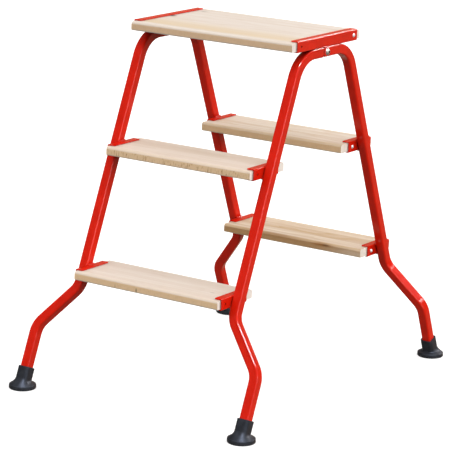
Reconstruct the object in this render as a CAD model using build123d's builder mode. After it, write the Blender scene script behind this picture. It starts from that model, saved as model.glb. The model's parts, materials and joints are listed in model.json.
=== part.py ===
from build123d import *
import os
from math import cos, radians, sin, tan

# Folding step stool: two frames of bent square tube lean together on a hinge under a platform.
# X runs across the treads, the front frame is at -Y, Z is up, and the origin is on the floor
# in the middle of the four feet. All sizes are in millimetres and degrees.

os.makedirs("parts", exist_ok=True)

# Stance
platform_height = 726.0      # top of the platform channels
first_rise = 252.0           # from the floor to the top of the lower channels
step_span = 350.0            # over the outer faces of the two channels that hold a tread
run_reach = 87.0             # from the hinge axis to where the top run and the leg would cross
lean_angle = 22.25           # legs out of upright
fold_angle = 47.0            # swing of the front frame when the stool closes

# Square tube of the legs
tube_size = 20.0
tube_wall = 2.0
tube_corner = 3.5            # outer corner radius
top_bend_radius = 65.0       # on the centre line
joggle_bend_radius = 45.0    # on the centre line
joggle_drop = 44.0           # upper corner of a front joggle, below the top of the lower channels
rear_joggle_drop = 47.0      # the same at the rear
joggle_out = 79.0            # how far the joggle carries a front foot outwards
rear_toe_in = 4.0            # rear feet stand this much nearer the middle
joggle_angle = 40.0          # slope of a front joggle against the leg

# Folded sheet channels
sheet = 2.0
flange_width = 17.0
channel_corner = 2.5         # outer bend radius
flange_tip_radius = 2.0      # in plan
step_channel_length = 86.0

# Wooden boards
board_thickness = 18.0
board_clearance = 0.1        # under a board in its channel
board_slack = 0.8            # over a board in its channel
board_end_gap = 2.0          # between the end of a board and the web
board_top_round = 6.0        # long upper edges
board_under_round = 3.0      # long lower edges
tread_depth = 120.0
tread_nosing = 9.0           # tread past the outer end of its channels
platform_depth = 250.0
platform_nosing = 15.0       # platform past each end of its channels

# Wood screws through the channel webs
screw_inset = 13.0           # from the end of the channel
screw_head = 8.0
screw_head_height = 2.6
screw_shank = 4.0
screw_length = 30.0
screw_clearance = 0.2        # around the shank in the web, on the radius
screw_grip = 0.02            # around the shank in the wood, on the radius
screw_recess = 4.4           # across the cross recess
screw_recess_width = 1.0
screw_recess_depth = 1.3

# Hinge
bolt_diameter = 8.0
bolt_head = 14.0
bolt_head_height = 4.4
bolt_socket = 5.0            # across the flats of the hexagon
bolt_socket_depth = 2.6
bolt_clearance = 0.05        # running clearance in the tongue, on the radius
bolt_wall_clearance = 0.1    # in the walls of the fork, on the radius
bolt_tail = 1.5              # end of the bolt past its nut
fork_reach = 13.0            # end of the rear tube past the hinge axis
butt_gap = 0.3               # between the square ends of the two tubes
stop_gap = 0.3               # front run under the platform channel
tongue_side_gap = 0.3        # beside the tongue in the fork
tongue_height_gap = 0.5      # above and below the tongue in the fork
tongue_bend_margin = 6.0     # tongue stops short of the bend of the front tube
fork_slot_margin = 1.5       # slot past the tongue when the stool is closed
nut_flats = 13.0
nut_hex_height = 6.0
nut_collar = 11.0
nut_collar_height = 2.0
washer_diameter = 16.0
washer_thickness = 1.6
washer_clearance = 0.2       # around the bolt, on the radius

# Rubber feet
foot_diameter = 55.0
foot_base_height = 9.0       # upright round base under the flare
foot_base_round = 2.0        # upper and lower edges of the base
foot_centre_height = 9.0     # where the leg axis crosses the axis of the round base
flare_angle = 25.0           # slope of the flare where it leaves the base
collar_wall = 3.7
collar_start = 20.0          # along the leg axis from the floor
collar_end = 44.0
socket_floor = 11.5          # along the leg axis from the floor
socket_clearance = 0.05      # around the tube
foot_disc = 18.0
foot_disc_thickness = 2.0
flare_steps = 4              # of the loft up the flare
flare_roundness = 0.985      # corner radius of the lowest section of the flare, as a share of its half width

# Sizes that follow from those above
front, rear = -1, 1
ends = {"front": front, "rear": rear}
sides = {"left": -1, "right": 1}
slant = radians(lean_angle)
tube_bore = tube_size - 2 * tube_wall
bore_corner = tube_corner - tube_wall
leg_x = step_span / 2 + tube_size / 2
foot_x = {front: leg_x + joggle_out, rear: leg_x + joggle_out - rear_toe_in}
platform_web = leg_x + tube_size / 2
step_web = step_span / 2
channel_height = board_thickness + board_clearance + board_slack + 2 * sheet
hinge_z = platform_height - channel_height - tube_size / 2
tread_heights = {"upper": (platform_height + first_rise) / 2, "lower": first_rise}
platform_channel_length = platform_depth - 2 * platform_nosing
joggle_top = {front: first_rise - joggle_drop, rear: first_rise - rear_joggle_drop}
joggle_fall = joggle_out / tan(radians(joggle_angle)) * cos(slant)
tube_end = socket_floor + foot_disc_thickness
bend_start = run_reach - top_bend_radius * tan((radians(90) - slant) / 2)
bolt_axis = Axis((0, 0, hinge_z), (1, 0, 0))
tongue_width = tube_bore - 2 * tongue_side_gap
tongue_height = tube_bore - 2 * tongue_height_gap
fold = radians(fold_angle)
fork_slot_end = (tongue_height - tube_bore * cos(fold)) / 2 / sin(fold) + fork_slot_margin


def save(piece, name):
    """Label a finished piece and write it under its own name."""
    piece.part.label = name
    export_step(piece.part, f"parts/{name}.step")


def cap_radius(diameter, height):
    """Radius of the sphere that a round head is a cap of."""
    return (diameter**2 / 4 + height**2) / 2 / height


def leg_y(z):
    """Distance of a leg's centre line from the hinge plane, at height z."""
    return run_reach + tan(slant) * (hinge_z - z)


def leg_plane(side, end, along):
    """Plane square to the lowest stretch of a leg, at a distance up its axis from the floor."""
    origin = (side * foot_x[end], end * (leg_y(0) - along * sin(slant)), along * cos(slant))
    return Plane(origin, x_dir=(1, 0, 0), z_dir=(0, -end * sin(slant), cos(slant)))


def side_plane(side, x, y, z):
    """Plane facing outwards on one side of the stool, with its local X along Y."""
    return Plane((side * x, y, z), x_dir=(0, 1, 0), z_dir=(side, 0, 0))


def channel_centre(end, top):
    """Y of the middle of a step channel, which is centred on its leg at mid height."""
    return end * leg_y(top - channel_height / 2)


def tread_middle(end, top):
    """Y of the middle of a tread, whose outer edge stands past its channels by the nosing."""
    outer = abs(channel_centre(end, top)) + step_channel_length / 2 + tread_nosing
    return end * (outer - tread_depth / 2)


def make_leg(side, end):
    """Bent leg: top run, bend, leaning leg, joggle, and the stretch in the foot."""
    run_z = hinge_z if end == rear else hinge_z - stop_gap
    start_y = -fork_reach if end == rear else -fork_reach - butt_gap
    joggle_bottom = joggle_top[end] - joggle_fall
    points = [
        (side * leg_x, start_y, run_z),
        (side * leg_x, end * leg_y(run_z), run_z),
        (side * leg_x, end * leg_y(joggle_top[end]), joggle_top[end]),
        (side * foot_x[end], end * leg_y(joggle_bottom), joggle_bottom),
        leg_plane(side, end, tube_end).origin,
    ]
    with BuildPart() as leg:
        with BuildLine():
            FilletPolyline(*points, radius=(top_bend_radius, joggle_bend_radius, joggle_bend_radius))
        with BuildSketch(Plane(points[0], x_dir=(1, 0, 0), z_dir=(0, end, 0))):
            RectangleRounded(tube_size, tube_size, tube_corner)
            RectangleRounded(tube_bore, tube_bore, bore_corner, mode=Mode.SUBTRACT)
        sweep()
        if end == rear:
            # Bolt holes, and below them an end rounded about the bolt, so that the front tube can turn past
            with BuildSketch(side_plane(1, side * leg_x - tube_size, 0, hinge_z)):
                Rectangle(2 * fork_reach, tube_size, align=(Align.MAX, Align.MAX))
                Circle(fork_reach, mode=Mode.SUBTRACT)
                Circle(bolt_diameter / 2 + bolt_wall_clearance)
            extrude(amount=2 * tube_size, mode=Mode.SUBTRACT)
            # Slot in the bottom wall, where the tongue swings down out of the fork
            with BuildSketch(Plane((side * leg_x, 0, hinge_z - tube_size / 2))):
                with Locations((0, (fork_slot_end - fork_reach) / 2)):
                    Rectangle(tube_bore, fork_slot_end + fork_reach)
            extrude(amount=tube_wall + bore_corner, mode=Mode.SUBTRACT)
    return leg


def make_tongue(side):
    """Square bar in the front tube, with a round nose that turns on the bolt in the fork."""
    root = bend_start - tongue_bend_margin
    with BuildPart() as tongue:
        with BuildSketch(side_plane(1, side * leg_x - tongue_width / 2, 0, hinge_z)):
            with Locations((-root / 2, 0)):
                Rectangle(root, tongue_height)
            Circle(tongue_height / 2)
            Circle(bolt_diameter / 2 + bolt_clearance, mode=Mode.SUBTRACT)
        extrude(amount=tongue_width)
        long_edges = tongue.edges().filter_by(Axis.Y)
        fillet(long_edges, bore_corner)
    return tongue


def make_channel(side, web, middle, top, length):
    """U channel, open towards the middle of the stool and drilled at both ends of its web."""
    half = sheet / 2
    with BuildPart() as channel:
        with BuildSketch(Plane((side * web, middle, top), x_dir=(-side, 0, 0), z_dir=(0, side, 0))):
            with BuildLine():
                FilletPolyline(
                    (flange_width, -half),
                    (half, -half),
                    (half, half - channel_height),
                    (flange_width, half - channel_height),
                    radius=channel_corner - half,
                )
            trace(line_width=sheet)
        extrude(amount=length / 2, both=True)
        tips = channel.edges().filter_by(Axis.Z).group_by(Axis.X)[0 if side > 0 else -1]
        fillet(tips, flange_tip_radius)
        with BuildSketch(side_plane(side, web, middle, top - channel_height / 2)):
            with GridLocations(length - 2 * screw_inset, 0, 2, 1):
                Circle(screw_shank / 2 + screw_clearance)
        extrude(amount=-sheet, mode=Mode.SUBTRACT)
    return channel


def make_board(web, middle, top, depth, screw_y):
    """Board between two webs, with rounded long edges and a screw hole in each end."""
    half_length = web - sheet - board_end_gap
    board_top = top - sheet - board_slack
    with BuildPart() as board:
        with BuildSketch(Plane.YZ) as outline:
            with Locations((middle, board_top - board_thickness / 2)):
                Rectangle(depth, board_thickness)
            fillet(outline.vertices().group_by(Axis.Y)[-1], board_top_round)
            fillet(outline.vertices().group_by(Axis.Y)[0], board_under_round)
        extrude(amount=half_length, both=True)
        for side in sides.values():
            with BuildSketch(side_plane(side, web, screw_y, top - channel_height / 2)):
                Circle(screw_shank / 2 + screw_grip)
            extrude(amount=-screw_length, mode=Mode.SUBTRACT)
    return board


def make_screw_set(places):
    """Group of pan-head screws, each seated on a plane at its web."""
    with BuildPart() as screw:
        with BuildSketch(Plane.XZ):
            with BuildLine():
                Polyline(
                    (0, screw_head_height),
                    (0, -screw_length + screw_shank),
                    (screw_shank / 2, -screw_length + 2 * screw_shank),
                    (screw_shank / 2, 0),
                    (screw_head / 2, 0),
                )
                RadiusArc(
                    (screw_head / 2, 0),
                    (0, screw_head_height),
                    -cap_radius(screw_head, screw_head_height),
                )
            make_face()
        revolve(axis=Axis.Z)
        with BuildSketch(Plane.XY.offset(screw_head_height)):
            Rectangle(screw_recess, screw_recess_width)
            Rectangle(screw_recess_width, screw_recess)
        extrude(amount=-screw_recess_depth, mode=Mode.SUBTRACT)
    with BuildPart() as screws:
        with Locations(*places):
            add(screw.part)
    return screws


def make_bolt(side):
    """Button-head bolt through the fork, its head on the outer face of the tube."""
    seat = leg_x + tube_size / 2
    nut_height = nut_hex_height + nut_collar_height
    length = tube_size + washer_thickness + nut_height + bolt_tail
    head_plane = side_plane(side, seat, 0, hinge_z)
    with BuildPart() as bolt:
        with BuildSketch(head_plane):
            Circle(bolt_diameter / 2)
        extrude(amount=-length)
        with BuildSketch(Plane((side * seat, 0, hinge_z), x_dir=(0, 0, 1), z_dir=(0, side, 0))):
            with BuildLine():
                Polyline((0, bolt_head_height), (0, 0), (bolt_head / 2, 0))
                RadiusArc(
                    (bolt_head / 2, 0),
                    (0, bolt_head_height),
                    -cap_radius(bolt_head, bolt_head_height),
                )
            make_face()
        revolve(axis=bolt_axis)
        with BuildSketch(head_plane.offset(bolt_head_height)):
            RegularPolygon(bolt_socket / 2, 6, major_radius=False)
        extrude(amount=-bolt_socket_depth, mode=Mode.SUBTRACT)
    return bolt


def make_washer(side):
    """Flat washer on the inner face of the fork."""
    with BuildPart() as washer:
        with BuildSketch(side_plane(side, step_web, 0, hinge_z)):
            Circle(washer_diameter / 2)
            Circle(bolt_diameter / 2 + washer_clearance, mode=Mode.SUBTRACT)
        extrude(amount=-washer_thickness)
    return washer


def make_nut(side):
    """Lock nut on the washer: a hexagon with a round collar over its insert."""
    with BuildPart() as nut:
        with BuildSketch(side_plane(side, step_web - washer_thickness, 0, hinge_z)):
            RegularPolygon(nut_flats / 2, 6, major_radius=False)
        extrude(amount=-nut_hex_height)
        collar_x = step_web - washer_thickness - nut_hex_height
        with BuildSketch(side_plane(side, collar_x, 0, hinge_z)):
            Circle(nut_collar / 2)
        extrude(amount=-nut_collar_height)
        with BuildSketch(side_plane(side, step_web, 0, hinge_z)):
            Circle(bolt_diameter / 2 + bolt_clearance)
        extrude(amount=-washer_thickness - nut_hex_height - nut_collar_height, mode=Mode.SUBTRACT)
    return nut


def foot_flare(side, end):
    """Planes, half widths and corner radii of the loft from the base up to the collar."""
    collar = tube_size / 2 + collar_wall
    collar_roundness = (tube_corner + collar_wall) / collar
    base = (foot_diameter / 2 - foot_base_round) * flare_roundness
    base_y = leg_y(foot_centre_height)
    # The flare is a parabola from its slope at the base to the leg's direction, turning square as it rises
    knee_z = foot_base_height + (base - collar) * tan(radians(flare_angle))
    collar_z = collar_start * cos(slant)
    sections = []
    for step in range(flare_steps + 1):
        t = step / flare_steps
        half = collar + (base - collar) * (1 - t) ** 2
        z = (1 - t) ** 2 * foot_base_height + 2 * t * (1 - t) * knee_z + t**2 * collar_z
        y = base_y - t * (z - foot_centre_height) * tan(slant)
        tilt = (0, -end * sin(t * slant), cos(t * slant))
        plane = Plane((side * foot_x[end], end * y, z), x_dir=(1, 0, 0), z_dir=tilt)
        roundness = flare_roundness + (collar_roundness - flare_roundness) * t
        sections.append((plane, half, roundness * half))
    return sections


def make_foot(side, end):
    """Rubber foot: round upright base, flaring up into a collar round the leg."""
    collar = tube_size + 2 * collar_wall
    socket = tube_size + 2 * socket_clearance
    with BuildPart() as foot:
        with BuildSketch(Plane((side * foot_x[end], end * leg_y(foot_centre_height), 0))):
            Circle(foot_diameter / 2)
        extrude(amount=foot_base_height)
        fillet(foot.edges().filter_by(GeomType.CIRCLE), foot_base_round)
        for plane, half, corner in foot_flare(side, end):
            with BuildSketch(plane):
                RectangleRounded(2 * half, 2 * half, corner)
        loft()
        with BuildSketch(leg_plane(side, end, collar_start)):
            RectangleRounded(collar, collar, tube_corner + collar_wall)
        extrude(amount=collar_end - collar_start)
        with BuildSketch(leg_plane(side, end, collar_end)):
            RectangleRounded(socket, socket, tube_corner)
        extrude(amount=socket_floor - collar_end, mode=Mode.SUBTRACT)
    return foot


def make_foot_discs(end):
    """Steel discs on the socket floors, one under each tube end."""
    with BuildPart() as discs:
        for side in sides.values():
            with BuildSketch(leg_plane(side, end, socket_floor)):
                Circle(foot_disc / 2)
            extrude(amount=foot_disc_thickness)
    return discs


# Legs and feet
for side_name, side in sides.items():
    for end_name, end in ends.items():
        save(make_leg(side, end), f"{end_name}_{side_name}_leg")
        save(make_foot(side, end), f"{end_name}_{side_name}_foot")
for end_name, end in ends.items():
    save(make_foot_discs(end), f"{end_name}_foot_discs")

# Treads in their channels, with a screw at the inner end of each channel
for end_name, end in ends.items():
    screw_places = []
    for level, top in tread_heights.items():
        middle = channel_centre(end, top)
        screw_y = middle - end * (step_channel_length / 2 - screw_inset)
        for side_name, side in sides.items():
            channel = make_channel(side, step_web, middle, top, step_channel_length)
            save(channel, f"{end_name}_{level}_{side_name}_channel")
            screw_places.append(side_plane(side, step_web, screw_y, top - channel_height / 2))
        tread = make_board(step_web, tread_middle(end, top), top, tread_depth, screw_y)
        save(tread, f"{end_name}_{level}_tread")
    save(make_screw_set(screw_places), f"{end_name}_tread_screws")

# Platform in its channels, with a screw at the rear end of each channel
platform_screw_y = platform_channel_length / 2 - screw_inset
platform_screw_places = []
for side_name, side in sides.items():
    channel = make_channel(side, platform_web, 0, platform_height, platform_channel_length)
    save(channel, f"platform_{side_name}_channel")
    mid_height = platform_height - channel_height / 2
    platform_screw_places.append(side_plane(side, platform_web, platform_screw_y, mid_height))
save(make_board(platform_web, 0, platform_height, platform_depth, platform_screw_y), "platform_board")
save(make_screw_set(platform_screw_places), "platform_screws")

# Hinge
for side_name, side in sides.items():
    save(make_tongue(side), f"{side_name}_hinge_tongue")
    save(make_bolt(side), f"{side_name}_hinge_bolt")
    save(make_washer(side), f"{side_name}_hinge_washer")
    save(make_nut(side), f"{side_name}_hinge_nut")
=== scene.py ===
import json
from math import cos, pi, radians, sin

import bpy
import numpy as np
from bpy.props import FloatProperty, FloatVectorProperty, IntProperty, PointerProperty
from mathutils import Matrix, Vector


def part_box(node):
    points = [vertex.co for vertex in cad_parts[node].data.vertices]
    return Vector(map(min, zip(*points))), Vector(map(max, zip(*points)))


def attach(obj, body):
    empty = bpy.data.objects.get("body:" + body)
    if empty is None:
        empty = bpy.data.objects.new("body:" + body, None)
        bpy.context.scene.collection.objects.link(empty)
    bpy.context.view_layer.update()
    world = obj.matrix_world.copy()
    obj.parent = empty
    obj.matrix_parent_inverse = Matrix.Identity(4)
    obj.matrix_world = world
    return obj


bl_info = {
    "name": "Folding step stool",
    "version": (1, 0, 0),
    "blender": (4, 5, 0),
    "location": "3D View > Sidebar > Stool",
    "description": "Paint, timber, rubber, zinc and weld beads of a folding step stool, with its stage",
    "category": "Object",
}

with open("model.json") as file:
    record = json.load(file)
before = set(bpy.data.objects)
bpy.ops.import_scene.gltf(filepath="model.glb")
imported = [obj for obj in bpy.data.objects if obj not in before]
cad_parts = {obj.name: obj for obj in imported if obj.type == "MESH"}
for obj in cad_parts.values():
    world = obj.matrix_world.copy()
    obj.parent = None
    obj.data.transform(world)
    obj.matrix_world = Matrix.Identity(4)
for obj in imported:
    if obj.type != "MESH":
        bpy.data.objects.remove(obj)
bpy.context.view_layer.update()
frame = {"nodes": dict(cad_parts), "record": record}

# Pieces are named by the end, the side and the level that they belong to
END_NAMES = ("front", "rear")
SIDE_NAMES = ("left", "right")
LEVEL_NAMES = ("upper", "lower")

# Height of the hinge axis, and the seam beside it where a front tube ends before a rear one
HINGE_HEIGHT = frame["record"]["behaviour"]["joints"][0]["pos_m"][2]
SEAM_Y = (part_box("front_right_leg")[1].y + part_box("rear_right_leg")[0].y) / 2


def linear(hex_colour):
    """Linear RGB of an sRGB hex colour, by the sRGB transfer curve."""
    channels = np.array([int(hex_colour[i : i + 2], 16) for i in (0, 2, 4)]) / 255
    curve = ((channels + 0.055) / 1.055) ** 2.4
    return tuple(np.where(channels <= 0.04045, channels / 12.92, curve).tolist())


def colour_property(label, hex_colour, words):
    """A colour that a user can change, with its default given as sRGB hex."""
    return FloatVectorProperty(
        name=label, description=words, subtype="COLOR", size=3, min=0, max=1, default=linear(hex_colour)
    )


def length_property(label, millimetres, words):
    """A length that a user can change, with its default given in millimetres."""
    return FloatProperty(
        name=label, description=words, unit="LENGTH", subtype="DISTANCE",
        min=1e-5, default=millimetres / 1000,
    )


def angle_property(label, degrees, words):
    """An angle that a user can change, with its default given in degrees."""
    return FloatProperty(name=label, description=words, subtype="ANGLE", default=radians(degrees))


def strength_property(label, value, words):
    """A strength that a user can change, in the unit that its words name."""
    return FloatProperty(name=label, description=words, default=value, min=0)


class StoolPaint(bpy.types.PropertyGroup):
    """Gloss enamel of the legs, the channels and the welds."""

    red: colour_property("Red", "D01C08", "Colour of the enamel")
    roughness: FloatProperty(name="Roughness", description="Of the enamel", default=0.15, min=0, max=1)
    cloud: length_property("Cloud", 30.0, "Size of the clouds in its depth of colour")
    peel: length_property("Orange peel", 3.0, "Width of one dimple in the sprayed surface")
    # Painted shade: the reach of the shade painted into the enamel in corners and under boards
    corner: length_property("Corner", 80.0, "Reach of the grime in corners and under boards")
    # Painted shadow: the width and height of the dark line painted in the seam between the tubes at a
    # hinge
    seam: length_property("Seam", 1.6, "Half the width of the dark line between the tubes at a hinge")
    seam_height: length_property("Seam height", 12.0, "Half the height of that line")


class StoolTimber(bpy.types.PropertyGroup):
    """Planed hardwood of the treads and the platform."""

    end_grain: colour_property("End grain", "EFE5DB", "Sawn ends")
    knot: colour_property("Knot", "4A3A2C", "Dark knots")
    figure: colour_property("Figure", "94602F", "Brown heartwood about the knots, and ray flecks")
    strip: length_property("Glued strip", 41.0, "Width of the strips that a board is glued up from")
    ring: length_property("Growth ring", 3.4, "Distance from ring to ring")
    pith: length_property("Pith depth", 90.0, "Greatest depth of a strip's pith under it")
    streak: length_property("Streak", 15.0, "Width of the broad streaks along the grain")
    streak_length: length_property("Streak length", 600.0, "Length of those streaks")
    fibre: length_property("Fibre", 1.3, "Width of the fine lines along the grain")
    fibre_length: length_property("Fibre length", 60.0, "Length of those lines")
    fleck: length_property("Fleck", 1.8, "Width of the ray flecks on the long edges")


class StoolRubber(bpy.types.PropertyGroup):
    """Moulded rubber of the feet."""

    black: colour_property("Black", "26272A", "Colour of the rubber")
    dust: colour_property("Dust", "8A8D94", "Colour of the bloom on it")
    gleam: colour_property("Gleam", "C4D2F2", "Tint of its highlights")
    bloom: length_property("Bloom", 12.0, "Size of the patches of dust")
    grit: length_property("Mould grit", 0.8, "Grain of the blasted mould")


class StoolMetal(bpy.types.PropertyGroup):
    """Fasteners and hidden steel."""

    zinc: colour_property("Zinc", "ECEDEE", "Bright zinc plate of the screws")
    dull_zinc: colour_property("Dull zinc", "AEAEA5", "Older plate of the hinge bolts, nuts and washers")
    steel: colour_property("Steel", "8C8D90", "Drawn bar of the hinge tongues and discs in the feet")
    spangle: length_property("Spangle", 1.2, "Size of the crystals in the plate")
    # Painted shade: the radius of the dark spot painted in the socket of a hinge bolt
    socket: length_property("Socket", 2.7, "Radius of the dark socket in a hinge bolt")


class StoolWelds(bpy.types.PropertyGroup):
    """Fillet welds between the legs and the channels."""

    leg_size: length_property("Step bead", 3.0, "Half the width of a bead at a step")
    platform_size: length_property("Platform bead", 2.0, "Half the width of a bead under the platform")
    ripple: length_property("Ripple", 6.0, "Distance from one ripple to the next")
    tack: length_property("Tack", 8.0, "Length of the tack at the hinge")
    seam: length_property("Platform seam", 26.0, "Length of a bead along the flange under the platform")
    seed: IntProperty(name="Seed", description="Of the unevenness along the beads", default=7, min=0)


class StoolStage(bpy.types.PropertyGroup):
    """Camera, lights and floor."""

    azimuth: angle_property("Azimuth", 33.5875, "Of the camera, from -Y towards +X")
    elevation: angle_property("Elevation", 13.7158, "Of the camera")
    roll: angle_property("Roll", 1.9094, "Of the camera")
    lens: FloatProperty(
        name="Lens", description="Focal length", subtype="DISTANCE_CAMERA", default=192.228
    )
    distance: length_property("Distance", 4926.81, "From the camera to its target")
    target_right: FloatProperty(
        name="Target right", description="Target to the right of the stool's axis",
        unit="LENGTH", default=-0.0254,
    )
    target_height: length_property("Target height", 308.59, "Target above the floor")
    side: strength_property("Side light", 0.9, "Irradiance from the right")
    front: strength_property("Front light", 0.85, "Irradiance from the front right")
    low_glint: strength_property("Low glint", 14.0, "Watts, for the legs' corners")
    high_glint: strength_property("High glint", 8.0, "Irradiance along the joggles")
    rim: strength_property("Rim light", 0.2, "Irradiance on the rear joggle")
    bend_glint: strength_property("Bend glint", 0.22, "Irradiance where bends end")
    left_panel: strength_property("Left panel", 2.8, "Watts, behind the platform")
    right_panel: strength_property("Right panel", 0.4, "Watts, beside the platform")
    top_sheen: strength_property("Top sheen", 0.018, "Irradiance, for flange tops")
    weld_glint: strength_property("Weld glint", 1.6, "Irradiance, for beads and long edges")
    glow: strength_property("Floor glow", 0.6, "Irradiance mirrored from the floor")
    sheen: strength_property("Sheen", 0.5, "Irradiance that only glossy sides show")
    ceiling: strength_property("Ceiling", 3.88, "Irradiance from the whole ceiling")
    room: strength_property("Room", 0.05, "Light from all round, also seen in reflections")
    floor: colour_property("Floor", "E6E6E5", "Colour of the paper floor")


class StoolSettings(bpy.types.PropertyGroup):
    """All settings of the stool."""

    paint: PointerProperty(type=StoolPaint)
    timber: PointerProperty(type=StoolTimber)
    rubber: PointerProperty(type=StoolRubber)
    metal: PointerProperty(type=StoolMetal)
    welds: PointerProperty(type=StoolWelds)
    stage: PointerProperty(type=StoolStage)


# Materials


def add_node(tree, kind, sockets, **options):
    """Add one node with its options; sockets maps each input to a value, or to an output to link."""
    node = tree.nodes.new(kind)
    for option, value in options.items():
        setattr(node, option, value)
    for socket, value in sockets.items():
        if isinstance(value, bpy.types.NodeSocket):
            tree.links.new(value, node.inputs[socket])
        else:
            node.inputs[socket].default_value = value
    return node


def new_material(name):
    """An empty material: its node tree, its surface shader and the object coordinates, in metres."""
    material = bpy.data.materials.new(name)
    material.use_nodes = True
    tree = material.node_tree
    tree.nodes.clear()
    shader = add_node(tree, "ShaderNodeBsdfPrincipled", {})
    add_node(tree, "ShaderNodeOutputMaterial", {"Surface": shader.outputs["BSDF"]})
    place = add_node(tree, "ShaderNodeTexCoord", {}).outputs["Object"]
    return material, tree, shader, place


def stretched_noise(tree, place, sizes, detail=2.0, rough=0.5):
    """Noise with blobs of the sizes given, in metres, along X, Y and Z; rough is how much is fine."""
    scaled = add_node(
        tree, "ShaderNodeMapping", {"Vector": place, "Scale": [1 / size for size in sizes]}
    )
    noise = add_node(
        tree, "ShaderNodeTexNoise",
        {"Vector": scaled.outputs["Vector"], "Scale": 1.0, "Detail": detail, "Roughness": rough},
    )
    return noise.outputs["Fac"]


def layered(tree, colour, layers):
    """The colour with each layer's own colour over it, by the layer's factor."""
    for factor, tint in layers:
        mix = add_node(tree, "ShaderNodeMix", {0: factor, 6: colour, 7: tint}, data_type="RGBA")
        colour = mix.outputs[2]
    return colour


def corner_shade(tree, paint):
    """Painted shade: a factor that is low in corners and under boards, where few rays that lean upwards
    get away.
    """
    lean = 0.8
    normal = add_node(tree, "ShaderNodeNewGeometry", {}).outputs["Normal"]
    leaning = add_node(tree, "ShaderNodeVectorMath", {0: normal, 1: (0, 0, lean)}, operation="ADD")
    upward = add_node(
        tree, "ShaderNodeVectorMath", {0: leaning.outputs["Vector"]}, operation="NORMALIZE"
    )
    corner = add_node(
        tree, "ShaderNodeAmbientOcclusion",
        {"Distance": paint.corner, "Normal": upward.outputs["Vector"]}, samples=16,
    )
    open_air = add_node(
        tree, "ShaderNodeMapRange",
        {
            "Value": corner.outputs["AO"], "From Min": 0.1, "From Max": 0.78,
            "To Min": 0.35, "To Max": 1.0,
        },
    )
    return open_air.outputs["Result"]


def seam_shade(tree, place, paint):
    """Painted shadow: a factor that is low in a narrow upright ellipse about the seam between the tubes
    at a hinge.
    """
    beside = add_node(
        tree, "ShaderNodeMapping",
        {
            "Vector": place,
            "Location": (0, -SEAM_Y / paint.seam, -HINGE_HEIGHT / paint.seam_height),
            "Scale": (0, 1 / paint.seam, 1 / paint.seam_height),
        },
    )
    reach = add_node(tree, "ShaderNodeVectorMath", {0: beside.outputs["Vector"]}, operation="LENGTH")
    unshaded = add_node(
        tree, "ShaderNodeMapRange",
        {"Value": reach.outputs["Value"], "From Min": 0.6, "To Min": 0.25, "To Max": 1.0},
    )
    return unshaded.outputs["Result"]


def gloss_enamel(paint):
    """Sprayed gloss enamel on steel: wet-looking, with slight orange peel and cloudy depth of colour.

    Painted shade darkens it in corners, under boards and along the seam between the tubes at a hinge.
    """
    material, tree, shader, place = new_material("gloss_enamel")
    cloud = stretched_noise(tree, place, [paint.cloud] * 3)
    shade = add_node(
        tree, "ShaderNodeMapRange",
        {"Value": cloud, "From Min": 0.3, "From Max": 0.7, "To Min": 0.9, "To Max": 1.06},
    )
    # Painted shade in corners, under boards and in the seam at a hinge darkens the colour
    for painted_shade in (corner_shade(tree, paint), seam_shade(tree, place, paint)):
        shade = add_node(tree, "ShaderNodeMath", {0: shade.outputs[0], 1: painted_shade}, operation="MULTIPLY")
    colour = add_node(
        tree, "ShaderNodeVectorMath", {0: paint.red, "Scale": shade.outputs[0]}, operation="SCALE"
    )
    peel = stretched_noise(tree, place, [paint.peel] * 3, detail=1.0)
    bump = add_node(tree, "ShaderNodeBump", {"Height": peel, "Strength": 0.08, "Distance": 0.0003})
    rough = add_node(
        tree, "ShaderNodeMapRange",
        {"Value": cloud, "To Min": paint.roughness - 0.04, "To Max": paint.roughness + 0.04},
    )
    tree.links.new(colour.outputs["Vector"], shader.inputs["Base Color"])
    tree.links.new(rough.outputs["Result"], shader.inputs["Roughness"])
    tree.links.new(bump.outputs["Normal"], shader.inputs["Normal"])
    shader.inputs["IOR"].default_value = 1.5
    shader.inputs["Specular IOR Level"].default_value = 0.3
    return material


def growth_rings(tree, place, strip, chance, timber):
    """Late wood of rings about a pith under the strip: the distance from it in the YZ plane, in turns.

    The rings wander by up to 20 mm, over 260 mm along the board and 60 mm across it.
    """
    wander_by, wander_along, wander_across = 0.02, 0.26, 0.06
    pith = add_node(
        tree, "ShaderNodeVectorMath",
        {0: chance.outputs["Color"], 1: (0, timber.strip, -timber.pith), 2: strip},
        operation="MULTIPLY_ADD",
    )
    away = add_node(
        tree, "ShaderNodeVectorMath", {0: place, 1: pith.outputs["Vector"]}, operation="SUBTRACT"
    )
    flat = add_node(
        tree, "ShaderNodeVectorMath", {0: away.outputs["Vector"], 1: (0, 1, 1)}, operation="MULTIPLY"
    )
    radius = add_node(tree, "ShaderNodeVectorMath", {0: flat.outputs["Vector"]}, operation="LENGTH")
    wander = stretched_noise(tree, place, (wander_along, wander_across, wander_across))
    wandered = add_node(
        tree, "ShaderNodeMath", {0: wander, 1: wander_by, 2: radius.outputs["Value"]},
        operation="MULTIPLY_ADD",
    )
    turns = add_node(
        tree, "ShaderNodeMath", {0: wandered.outputs[0], 1: timber.ring}, operation="DIVIDE"
    )
    phase = add_node(tree, "ShaderNodeMath", {0: turns.outputs[0]}, operation="FRACT")
    late_wood = add_node(
        tree, "ShaderNodeMapRange", {"Value": phase.outputs[0], "From Min": 0.45, "To Max": 0.4},
        interpolation_type="SMOOTHSTEP",
    )
    return late_wood.outputs["Result"]


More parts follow.
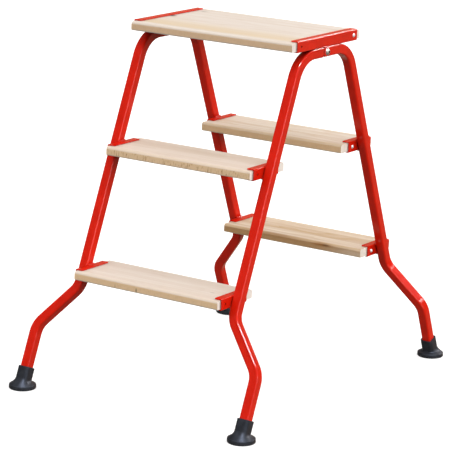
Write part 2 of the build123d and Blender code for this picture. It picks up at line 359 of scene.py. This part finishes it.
def facing_layers(tree, place, timber, board):
    """Layers by the way a face looks: rounds tan (painted shade), long edges tanner and flecked, sawn
    ends pale.
    """
    normal = add_node(tree, "ShaderNodeNewGeometry", {}).outputs["Normal"]
    either_way = add_node(tree, "ShaderNodeVectorMath", {0: normal}, operation="ABSOLUTE")
    facing = add_node(tree, "ShaderNodeSeparateXYZ", {0: either_way.outputs["Vector"]})
    # Painted shade: rounded edges are tanned by the board's rounds share
    rounds = add_node(
        tree, "ShaderNodeMapRange",
        {"Value": facing.outputs["Y"], "From Min": 0.06, "From Max": 0.42, "To Max": board["rounds"]},
    )
    edge = add_node(
        tree, "ShaderNodeMapRange",
        {"Value": facing.outputs["Y"], "From Min": 0.95, "From Max": 0.997, "To Max": 0.9},
    )
    ray_depth = 0.05
    rays = stretched_noise(tree, place, (timber.fleck, ray_depth, 4 * timber.fleck), detail=1.0)
    fleck = add_node(
        tree, "ShaderNodeMapRange",
        {"Value": rays, "From Min": 0.56, "From Max": 0.72, "To Max": board["fleck"]},
    )
    flecked = add_node(
        tree, "ShaderNodeMath", {0: fleck.outputs["Result"], 1: edge.outputs["Result"]},
        operation="MULTIPLY",
    )
    end = add_node(
        tree, "ShaderNodeMapRange",
        {"Value": facing.outputs["X"], "From Min": 0.6, "From Max": 0.9, "To Max": 0.75},
    )
    return [
        (rounds.outputs["Result"], (*linear(board["tan"]), 1)),
        (edge.outputs["Result"], (*linear(board["edge"]), 1)),
        (flecked.outputs[0], (*timber.figure, 1)),
        (end.outputs["Result"], (*timber.end_grain, 1)),
    ]


def mark_layers(tree, place, fibres, timber, board):
    """A layer for each mark: an ellipsoid that fades out across its rim, which the fibres fray."""
    stains = {
        "knot": (*timber.knot, 1),
        "figure": (*timber.figure, 1),
        "band": (*linear(board.get("band", board["tan"])), 1),
        "pale": (*linear(board["pale"]), 1),
    }
    layers = []
    for kind, centre, half_sizes, strength in board["marks"]:
        local = add_node(
            tree, "ShaderNodeMapping",
            {
                "Vector": place,
                "Location": [-c / half for c, half in zip(centre, half_sizes)],
                "Scale": [1000 / half for half in half_sizes],
            },
        )
        reach = add_node(
            tree, "ShaderNodeVectorMath", {0: local.outputs["Vector"]}, operation="LENGTH"
        )
        frayed = add_node(
            tree, "ShaderNodeMath", {0: fibres, 1: 0.9, 2: reach.outputs["Value"]},
            operation="MULTIPLY_ADD",
        )
        stain = add_node(
            tree, "ShaderNodeMapRange",
            {
                "Value": frayed.outputs[0], "From Min": 0.45, "From Max": 1.45,
                "To Min": strength, "To Max": 0.0,
            },
            interpolation_type="SMOOTHSTEP",
        )
        layers.append((stain.outputs["Result"], stains[kind]))
    return layers


def planed_beech(name, timber, board):
    """Planed beech glued up from strips: rings about a pith of each strip's own, fibres along X, knots.

    The board's pale and tan are the ends of its grain, contrast how far the grain goes towards them,
    rounds how much painted shade tans its rounded edges, and fleck how strong the ray flecks on its long
    edges are.
    Each mark has a kind (a knot, brown figure, pale, or a band of the board's band colour or tan),
    a centre and half sizes in millimetres, and a strength.
    """
    material, tree, shader, place = new_material(name)
    # Each strip has its own random numbers, read at its snapped Y
    strip = add_node(
        tree, "ShaderNodeVectorMath", {0: place, 1: (0, timber.strip, 0)}, operation="SNAP"
    ).outputs["Vector"]
    chance = add_node(tree, "ShaderNodeTexWhiteNoise", {"Vector": strip}, noise_dimensions="3D")
    # Streaks and fibres run along X
    streak_sizes = (timber.streak_length, timber.streak, timber.streak)
    streaks = stretched_noise(tree, place, streak_sizes, detail=3.0, rough=0.75)
    fibres = stretched_noise(
        tree, place, (timber.fibre_length, timber.fibre, timber.fibre), detail=3.0
    )
    grain = growth_rings(tree, place, strip, chance, timber)
    for part, share in ((fibres, 0.6), (streaks, 3.6), (chance.outputs["Value"], 0.5)):
        summed = add_node(
            tree, "ShaderNodeMath", {0: part, 1: share, 2: grain}, operation="MULTIPLY_ADD"
        )
        grain = summed.outputs[0]
    tone = add_node(
        tree, "ShaderNodeMapRange",
        {
            "Value": grain, "From Min": 1.5, "From Max": 3.6,
            "To Min": 0.5 - board["contrast"], "To Max": 0.5 + board["contrast"],
        },
    )
    wood = add_node(
        tree, "ShaderNodeMix",
        {0: tone.outputs["Result"], 6: (*linear(board["pale"]), 1), 7: (*linear(board["tan"]), 1)},
        data_type="RGBA", clamp_factor=False,
    )
    layers = facing_layers(tree, place, timber, board)
    layers += mark_layers(tree, place, fibres, timber, board)
    colour = layered(tree, wood.outputs[2], layers)
    bump = add_node(tree, "ShaderNodeBump", {"Height": fibres, "Strength": 0.15, "Distance": 0.0004})
    rough = add_node(tree, "ShaderNodeMapRange", {"Value": fibres, "To Min": 0.5, "To Max": 0.68})
    tree.links.new(colour, shader.inputs["Base Color"])
    tree.links.new(rough.outputs["Result"], shader.inputs["Roughness"])
    tree.links.new(bump.outputs["Normal"], shader.inputs["Normal"])
    shader.inputs["IOR"].default_value = 1.5
    shader.inputs["Specular IOR Level"].default_value = 0.2
    return material


def moulded_rubber(rubber):
    """Moulded rubber: near black, satin, with the fine grit of a blasted mould and a dusty bloom."""
    material, tree, shader, place = new_material("moulded_rubber")
    bloom = stretched_noise(tree, place, [rubber.bloom] * 3, detail=1.0)
    dust = add_node(
        tree, "ShaderNodeMapRange", {"Value": bloom, "From Min": 0.4, "From Max": 0.75, "To Max": 0.05}
    )
    colour = layered(tree, (*rubber.black, 1), [(dust.outputs["Result"], (*rubber.dust, 1))])
    grit = stretched_noise(tree, place, [rubber.grit] * 3)
    bump = add_node(tree, "ShaderNodeBump", {"Height": grit, "Strength": 0.1, "Distance": 0.0002})
    rough = add_node(tree, "ShaderNodeMapRange", {"Value": bloom, "To Min": 0.46, "To Max": 0.52})
    tree.links.new(colour, shader.inputs["Base Color"])
    tree.links.new(rough.outputs["Result"], shader.inputs["Roughness"])
    tree.links.new(bump.outputs["Normal"], shader.inputs["Normal"])
    shader.inputs["IOR"].default_value = 1.52
    shader.inputs["Specular IOR Level"].default_value = 0.25
    shader.inputs["Specular Tint"].default_value = (*rubber.gleam, 1)
    return material


def plated_metal(name, colour, spangle, rough_low, rough_high, metallic, socket=0.0):
    """Steel as drawn or plated: metallic under any milky film, with crystals that vary its polish.

    A socket of the radius given, on the hinge axis, is painted dark as shade.
    """
    material, tree, shader, place = new_material(name)
    crystals = add_node(tree, "ShaderNodeTexVoronoi", {"Vector": place, "Scale": 1 / spangle})
    tint = add_node(
        tree, "ShaderNodeMapRange",
        {"Value": crystals.outputs["Distance"], "To Min": 1.05, "To Max": 0.85},
    )
    # Painted shade darkens the socket of a hinge bolt
    if socket:
        across = add_node(
            tree, "ShaderNodeMapping",
            {"Vector": place, "Location": (0, 0, -HINGE_HEIGHT), "Scale": (0, 1, 1)},
        )
        radius = add_node(
            tree, "ShaderNodeVectorMath", {0: across.outputs["Vector"]}, operation="LENGTH"
        )
        unshaded = add_node(
            tree, "ShaderNodeMapRange",
            {
                "Value": radius.outputs["Value"], "From Min": 0.9 * socket, "From Max": 1.1 * socket,
                "To Min": 0.05,
            },
        )
        tint = add_node(
            tree, "ShaderNodeMath", {0: tint.outputs["Result"], 1: unshaded.outputs["Result"]},
            operation="MULTIPLY",
        )
    shaded = add_node(
        tree, "ShaderNodeVectorMath", {0: colour, "Scale": tint.outputs[0]}, operation="SCALE"
    )
    rough = add_node(
        tree, "ShaderNodeMapRange",
        {"Value": crystals.outputs["Distance"], "To Min": rough_low, "To Max": rough_high},
    )
    tree.links.new(shaded.outputs["Vector"], shader.inputs["Base Color"])
    tree.links.new(rough.outputs["Result"], shader.inputs["Roughness"])
    shader.inputs["Metallic"].default_value = metallic
    return material


def paper_floor(stage):
    """Matt white paper, lit evenly from within so that shadows stay faint."""
    material, tree, shader, place = new_material("paper_floor")
    cloud_size = 0.7
    cloud = stretched_noise(tree, place, [cloud_size] * 3)
    shade = add_node(tree, "ShaderNodeMapRange", {"Value": cloud, "To Min": 0.97, "To Max": 1.0})
    colour = add_node(
        tree, "ShaderNodeVectorMath", {0: stage.floor, "Scale": shade.outputs["Result"]},
        operation="SCALE",
    )
    tree.links.new(colour.outputs["Vector"], shader.inputs["Base Color"])
    shader.inputs["Roughness"].default_value = 1.0
    shader.inputs["Specular IOR Level"].default_value = 0.0
    shader.inputs["Emission Color"].default_value = (1, 1, 1, 1)
    shader.inputs["Emission Strength"].default_value = 0.35
    return material


def dress(node_name, material):
    """Give a CAD node its material."""
    slots = frame["nodes"][node_name].data.materials
    slots.clear()
    slots.append(material)


# Shapes


def closed_tube_faces(rings, around, first):
    """Quads between neighbouring rings and a polygon across each end, of points counted from first."""
    near = first + np.arange(rings - 1)[:, None] * around
    far = near + around
    here = np.arange(around)[None, :]
    ahead = (here + 1) % around
    quads = np.stack([near + here, near + ahead, far + ahead, far + here], axis=-1)
    ends = [quads[0, ::-1, 0].tolist(), quads[-1, :, 3].tolist()]
    return quads.reshape(-1, 4).tolist() + ends


def mesh_piece(name, points, faces, material, body):
    """A smooth-shaded object at the origin, with its place in its mesh, that rides on a body."""
    mesh = bpy.data.meshes.new(name)
    mesh.from_pydata(np.asarray(points, float).reshape(-1, 3).tolist(), [], faces)
    mesh.shade_smooth()
    mesh.materials.append(material)
    piece = bpy.data.objects.new(name, mesh)
    bpy.context.scene.collection.objects.link(piece)
    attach(piece, body)


def weld_bead(start, end, radius, ripple, uneven):
    """A bead from start to end, of as many round sections as uneven has numbers.

    Its radius swells as (1 - s^6)^(1/2), s from -1 to 1, but keeps a small flat end. It is then taken
    times a ripple of 1 + 0.06 cos(2 pi x / ripple), x along it, and 1 + 0.2 u for the unevenness u.
    """
    rings, around = len(uneven), 12
    start, end = np.array(start), np.array(end)
    along = (end - start) / np.linalg.norm(end - start)
    side = np.cross(along, (0.0, 0.0, 1.0))
    up = np.cross(side, along)
    s = np.linspace(-1, 1, rings)
    x = (s + 1) / 2 * np.linalg.norm(end - start)
    swell = np.sqrt(np.clip(1 - s**6, 0.02, 1))
    r = radius * swell * (1 + 0.06 * np.cos(2 * pi * x / ripple)) * (1 + 0.2 * uneven)
    turn = np.linspace(0, 2 * pi, around, endpoint=False)
    spokes = np.cos(turn)[:, None] * side + np.sin(turn)[:, None] * up
    centre = start + x[:, None] * along
    return centre[:, None, :] + r[:, None, None] * spokes[None, :, :]


# Operators


class STOOL_OT_paint(bpy.types.Operator):
    """Paint the legs and the channels"""

    bl_idname = "stool.paint"
    bl_label = "Paint legs and channels"

    def execute(self, context):
        enamel = gloss_enamel(context.scene.stool.paint)
        for node_name in frame["nodes"]:
            if node_name.endswith(("_leg", "_channel")):
                dress(node_name, enamel)
        return {"FINISHED"}


class STOOL_OT_timber(bpy.types.Operator):
    """Give each board its own planed timber"""

    bl_idname = "stool.timber"
    bl_label = "Plane boards"

    # Each board's own colours, how lively its grain is, how much painted shade tans its rounds, and its
    # knots and bands
    boards = {
        "platform_board": {
            "pale": "DAD2CB", "tan": "C9B7A4", "edge": "CEAD89",
            "contrast": 0.42, "fleck": 0.1, "rounds": 0.25,
            "band": "D0BA98",
            "marks": [
                ("band", (0, -92, 723), (900, 28, 30), 0.85),
                ("band", (0, -68, 723), (900, 44, 30), 0.55),
                ("knot", (-174, -4, 723), (9, 15, 6), 1.0),
                ("knot", (-161, 88, 723), (14, 9, 5), 0.42),
            ],
        },
        "front_upper_tread": {
            "pale": "E5D6C9", "tan": "D2BDA7", "edge": "D9BA92",
            "contrast": 0.42, "fleck": 0.7, "rounds": 0.75,
            "marks": [("band", (-60, -150, 486), (260, 22, 20), 0.5)],
        },
        "front_lower_tread": {
            "pale": "E1D5C9", "tan": "D0BCA9", "edge": "DBB98F",
            "contrast": 0.38, "fleck": 0.1, "rounds": 0.5,
            "marks": [
                ("knot", (-20, -325, 236), (2.6, 6, 9), 0.9),
                ("knot", (-71, -325, 236), (2, 5, 7), 0.45),
                ("knot", (128, -278, 250), (8, 4, 5), 0.3),
            ],
        },
        "rear_upper_tread": {
            "pale": "E8DCCF", "tan": "D1B797", "edge": "D5B288",
            "contrast": 0.62, "fleck": 0.1, "rounds": 0.75,
            "marks": [("band", (40, 122, 486), (300, 12, 20), 0.6)],
        },
        "rear_lower_tread": {
            "pale": "E3D2BE", "tan": "C6A67F", "edge": "AD865A",
            "contrast": 0.6, "fleck": 0.15, "rounds": 0.8,
            "marks": [
                ("pale", (168, 205, 236), (115, 20, 16), 0.42),
                ("figure", (-40, 206, 246), (110, 10, 8), 0.5),
                ("figure", (76, 205, 244), (40, 12, 6), 0.85),
                ("knot", (86, 205, 244), (14, 9, 4), 0.5),
            ],
        },
    }

    def execute(self, context):
        timber = context.scene.stool.timber
        for node_name, board in self.boards.items():
            dress(node_name, planed_beech(f"planed_beech_{node_name}", timber, board))
        return {"FINISHED"}


class STOOL_OT_feet(bpy.types.Operator):
    """Mould the feet in rubber"""

    bl_idname = "stool.feet"
    bl_label = "Mould feet"

    def execute(self, context):
        rubber = moulded_rubber(context.scene.stool.rubber)
        for end in END_NAMES:
            for side in SIDE_NAMES:
                dress(f"{end}_{side}_foot", rubber)
        return {"FINISHED"}


class STOOL_OT_fasteners(bpy.types.Operator):
    """Plate the fasteners, and leave the hidden steel as drawn"""

    bl_idname = "stool.fasteners"
    bl_label = "Plate fasteners"

    def execute(self, context):
        metal = context.scene.stool.metal
        zinc = plated_metal(
            "bright_zinc", metal.zinc, metal.spangle, rough_low=0.25, rough_high=0.4, metallic=0.5
        )
        dull_zinc = plated_metal(
            "dull_zinc", metal.dull_zinc, metal.spangle, rough_low=0.3, rough_high=0.45, metallic=0.7,
            socket=metal.socket,
        )
        steel = plated_metal(
            "drawn_steel", metal.steel, metal.spangle, rough_low=0.35, rough_high=0.55, metallic=1.0
        )
        for node_name in frame["nodes"]:
            if node_name.endswith("_screws"):
                dress(node_name, zinc)
            elif node_name.endswith(("_bolt", "_nut", "_washer")):
                dress(node_name, dull_zinc)
            elif node_name.endswith(("_tongue", "_discs")):
                dress(node_name, steel)
        return {"FINISHED"}


class STOOL_OT_welds(bpy.types.Operator):
    """Lay the weld beads where the legs meet the channels"""

    bl_idname = "stool.welds"
    bl_label = "Lay weld beads"

    # Sections along a bead, and how many neighbours share their unevenness
    rings, shared = 48, 15
    # Where a bead's axis lies, as shares of its radius: off the leg and in the flange at a step,
    # in the tube's side at the hinge, and off the flange's edge along the platform
    off_leg, in_flange, in_side, off_edge = 0.45, 0.25, 0.5, 0.2
    # From the start of one platform seam to the next, as a share of its length
    seam_pitch = 1.3

    def execute(self, context):
        welds = context.scene.stool.welds
        random = np.random.default_rng(welds.seed)
        enamel = frame["nodes"]["front_left_leg"].data.materials[0]
        for end in END_NAMES:
            beads = []
            for side in SIDE_NAMES:
                beads += self.step_beads(end, side, welds)
            if end == "rear":
                beads += self.platform_beads(welds)
            points, faces, count = [], [], 0
            for start, stop, radius in beads:
                draws = random.uniform(-1, 1, self.rings + self.shared - 1)
                uneven = np.convolve(draws, np.ones(self.shared) / self.shared, "valid")
                bead = weld_bead(start, stop, radius, welds.ripple, uneven)
                faces += closed_tube_faces(*bead.shape[:2], count)
                points.append(bead.reshape(-1, 3))
                count += len(points[-1])
            mesh_piece(
                f"{end}_frame_welds", np.concatenate(points), faces, enamel,
                f"{end}_frame",
            )
        return {"FINISHED"}

    def step_beads(self, end, side, welds):
        """Beads over and under each step channel, as long as the leg is wide where it crosses."""
        boxes = {level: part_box(f"{end}_{level}_{side}_channel") for level in LEVEL_NAMES}
        middle = {level: (low + high) / 2 for level, (low, high) in boxes.items()}
        slope = (middle["upper"] - middle["lower"]).y / (middle["upper"] - middle["lower"]).z
        # The sign of X on this side, and which corner of a box lies outwards
        outward, outer = (1, 1) if side == "right" else (-1, 0)
        tube = abs(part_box(f"platform_{side}_channel")[outer].x) - abs(boxes["upper"][outer].x)
        half_width = tube / 2 * (1 + slope**2) ** 0.5
        size = welds.leg_size
        beads = []
        for level, (low, high) in boxes.items():
            x = boxes[level][outer].x - outward * size * self.off_leg
            for z in (low.z + size * self.in_flange, high.z - size * self.in_flange):
                y = middle[level].y + slope * (z - middle[level].z)
                beads.append(((x, y - half_width, z), (x, y + half_width, z), size))
        return beads

    def platform_beads(self, welds):
        """A tack at the hinge, outside, and two seams along the edge of the flange, inside.

        They are small enough to stay in the tube's wall, clear of the tongue that turns inside it.
        """
        size = welds.platform_size
        beads = []
        for side in SIDE_NAMES:
            low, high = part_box(f"platform_{side}_channel")
            outward = 1 if side == "right" else -1
            outer, inner = (high.x, low.x) if outward > 0 else (low.x, high.x)
            run_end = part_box(f"rear_{side}_leg")[0].y
            tack_end = run_end + welds.tack
            x = outer - outward * size * self.in_side
            beads.append(((x, run_end, low.z), (x, tack_end, low.z), size))
            x, z = inner - outward * size * self.off_edge, low.z + size * self.off_edge
            for y in (tack_end, tack_end + self.seam_pitch * welds.seam):
                beads.append(((x, y, z), (x, y + welds.seam, z), size))
        return beads


class STOOL_OT_stage(bpy.types.Operator):
    """Lay the floor, hang the lights and set the camera"""

    bl_idname = "stool.stage"
    bl_label = "Set the stage"

    def execute(self, context):
        stage = context.scene.stool.stage
        self.lay_floor(stage)
        self.hang_light("side_light", (0.97, 0.0, 0.26), stage.side, 45)
        front = self.hang_light("front_light", (0.68, -0.68, 0.26), stage.front, 45)
        ceiling = self.hang_light("ceiling_light", (0, 0, 1), stage.ceiling, 170)
        front.visible_glossy = ceiling.visible_glossy = False
        self.hang_glints(stage)
        self.fill_room(context.scene, stage)
        self.set_camera(context.scene, stage)
        context.scene.view_settings.view_transform = "Standard"
        return {"FINISHED"}

    def hang_glints(self, stage):
        """Lights that only gloss shows, each where the faces that it serves mirror the camera."""
        # What the panels face, and the colours of what the stool mirrors
        platform, right_end, legs = (0.0, 0.0, 0.72), (0.2, 0.0, 0.72), (0.0, 0.0, 0.45)
        glow_colour, sheen_colour, top_colour = (1.0, 0.85, 0.6), (1.0, 0.36, 0.18), (1.0, 0.8, 0.5)
        glints = [
            self.hang_light("rim_light", (0.61, 0.44, 0.65), stage.rim, 40),
            self.hang_light("bend_glint", (0.71, 0.51, 0.48), stage.bend_glint, 6),
            self.hang_panel("left_panel", (0.0, 0.81, 1.31), platform, stage.left_panel, 0.4),
            self.hang_panel("right_panel", (0.4, 0.4, 0.94), right_end, stage.right_panel, 0.2),
            self.hang_light("top_sheen", (-0.54, 0.81, 0.24), stage.top_sheen, 25, top_colour),
            self.hang_light("weld_glint", (0.24, 0.81, 0.54), stage.weld_glint, 8),
            self.hang_light("floor_glow", (0, 0, -1), stage.glow, 170, glow_colour),
            self.hang_light("sheen_light", (0, 1, 0), stage.sheen, 90, sheen_colour),
            self.hang_panel("low_glint", (2.52, -1.41, 1.26), legs, stage.low_glint, 0.84),
            self.hang_light("high_glint", (0.25, -0.29, 0.92), stage.high_glint, 12),
        ]
        for lamp in glints:
            lamp.visible_diffuse = False

    def lay_floor(self, stage):
        """A square of paper under the feet, 40 m wide, which lights nothing."""
        across = np.linspace(-20, 20, 3)
        u, v = np.meshgrid(across, across, indexing="ij")
        points = np.stack([u, v, np.zeros_like(u)], axis=-1)
        corners = np.array([[0, 3, 4, 1], [1, 4, 5, 2], [3, 6, 7, 4], [4, 7, 8, 5]])
        mesh = bpy.data.meshes.new("paper_floor")
        mesh.from_pydata(points.reshape(-1, 3).tolist(), [], corners.tolist())
        mesh.materials.append(paper_floor(stage))
        floor = bpy.data.objects.new("paper_floor", mesh)
        bpy.context.scene.collection.objects.link(floor)
        floor.visible_diffuse = False
        floor.visible_glossy = False
        floor.visible_shadow = False

    def hang_light(self, name, towards, strength, degrees, colour=(1.0, 1.0, 1.0)):
        """A soft light from one direction, as wide as the angle given."""
        light = bpy.data.lights.new(name, "SUN")
        light.energy = strength
        light.angle = radians(degrees)
        light.color = colour
        lamp = bpy.data.objects.new(name, light)
        lamp.rotation_euler = Vector(towards).to_track_quat("Z", "Y").to_euler()
        bpy.context.scene.collection.objects.link(lamp)
        return lamp

    def hang_panel(self, name, place, target, strength, width):
        """A round panel of the width given, near enough to fade from the platform to the floor."""
        light = bpy.data.lights.new(name, "AREA")
        light.shape = "DISK"
        light.energy = strength
        light.size = width
        lamp = bpy.data.objects.new(name, light)
        lamp.location = place
        lamp.rotation_euler = (Vector(place) - Vector(target)).to_track_quat("Z", "Y").to_euler()
        bpy.context.scene.collection.objects.link(lamp)
        return lamp

    def fill_room(self, scene, stage):
        """Even light from all round."""
        world = bpy.data.worlds.new("white_room")
        scene.world = world
        world.use_nodes = True
        tree = world.node_tree
        tree.nodes.clear()
        light = add_node(tree, "ShaderNodeBackground", {"Color": (1, 1, 1, 1), "Strength": stage.room})
        add_node(tree, "ShaderNodeOutputWorld", {"Surface": light.outputs["Background"]})

    def set_camera(self, scene, stage):
        """A long lens at the fitted azimuth, elevation and roll about its target."""
        azimuth, elevation, roll = stage.azimuth, stage.elevation, stage.roll
        back = Vector((sin(azimuth) * cos(elevation), -cos(azimuth) * cos(elevation), sin(elevation)))
        level = Vector((cos(azimuth), sin(azimuth), 0))
        upright = back.cross(level)
        right = cos(roll) * level + sin(roll) * upright
        up = cos(roll) * upright - sin(roll) * level
        place = stage.target_right * level + Vector((0, 0, stage.target_height)) + stage.distance * back
        data = bpy.data.cameras.new("camera")
        data.sensor_width = 36.0
        data.lens = stage.lens
        data.clip_end = 100.0
        camera = bpy.data.objects.new("camera", data)
        camera.matrix_world = Matrix.Translation(place) @ Matrix((right, up, back)).transposed().to_4x4()
        scene.collection.objects.link(camera)
        scene.camera = camera


class STOOL_PT_panel(bpy.types.Panel):
    """Settings and steps of the stool"""

    bl_idname = "STOOL_PT_panel"
    bl_label = "Folding step stool"
    bl_space_type = "VIEW_3D"
    bl_region_type = "UI"
    bl_category = "Stool"

    def draw(self, context):
        for step in OPERATORS:
            self.layout.operator(step.bl_idname)
        for name in StoolSettings.__annotations__:
            group = getattr(context.scene.stool, name)
            box = self.layout.box()
            box.label(text=name.capitalize())
            for setting in type(group).__annotations__:
                box.prop(group, setting)


GROUPS = (StoolPaint, StoolTimber, StoolRubber, StoolMetal, StoolWelds, StoolStage, StoolSettings)
OPERATORS = (
    STOOL_OT_paint,
    STOOL_OT_timber,
    STOOL_OT_feet,
    STOOL_OT_fasteners,
    STOOL_OT_welds,
    STOOL_OT_stage,
)


def register():
    """Register the settings, the steps and the panel."""
    for group in (*GROUPS, *OPERATORS, STOOL_PT_panel):
        bpy.utils.register_class(group)
    bpy.types.Scene.stool = PointerProperty(type=StoolSettings)


def unregister():
    """Remove what register added."""
    del bpy.types.Scene.stool
    for group in reversed((*GROUPS, *OPERATORS, STOOL_PT_panel)):
        bpy.utils.unregister_class(group)


def main():
    """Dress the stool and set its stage."""
    register()
    bpy.ops.stool.paint()
    bpy.ops.stool.timber()
    bpy.ops.stool.feet()
    bpy.ops.stool.fasteners()
    bpy.ops.stool.welds()
    bpy.ops.stool.stage()


if __name__ == "__main__":
    main()
